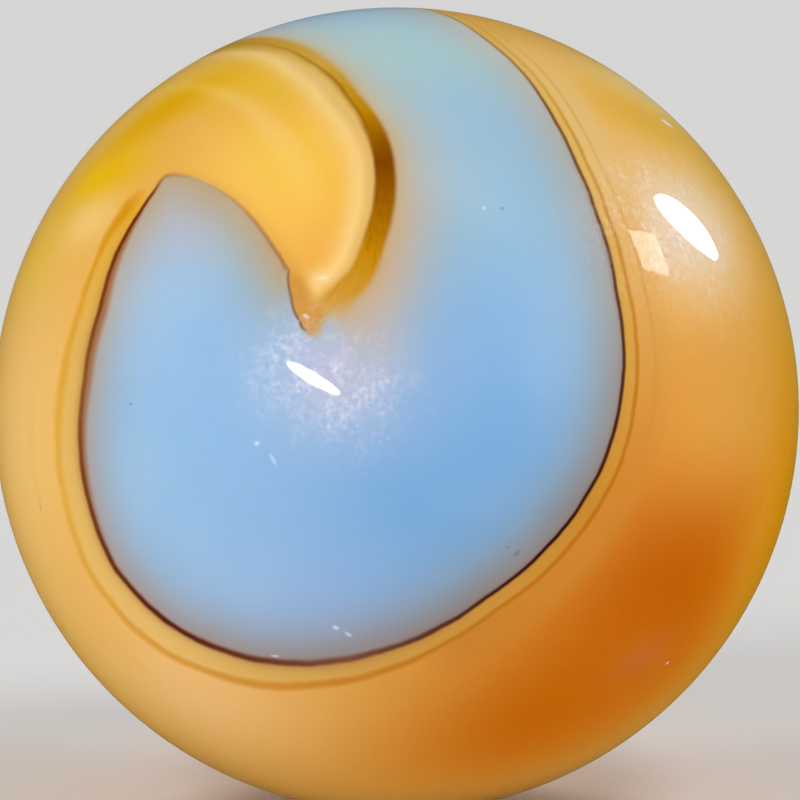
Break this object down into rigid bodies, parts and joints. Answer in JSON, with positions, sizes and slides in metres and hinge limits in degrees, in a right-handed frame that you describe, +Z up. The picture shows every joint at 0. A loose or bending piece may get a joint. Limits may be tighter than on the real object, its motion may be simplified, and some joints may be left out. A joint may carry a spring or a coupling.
{
  "type": "glass marble",
  "caption": "Solid glass playing marble: a smooth polished ball of honey-amber and milky-blue glass, wound together in a spiral swirl.",
  "frame": {"origin": "centre of the ball", "axes": "+Z up, the wide blue lobe of the swirl towards -Y"},
  "size_m": [0.016, 0.016, 0.016],
  "materials": {
    "swirl_glass": "fire-polished, lightly worn, opaque"
  },
  "bodies": {
    "root": {"marble": "swirl_glass"}
  },
  "joints": []
}
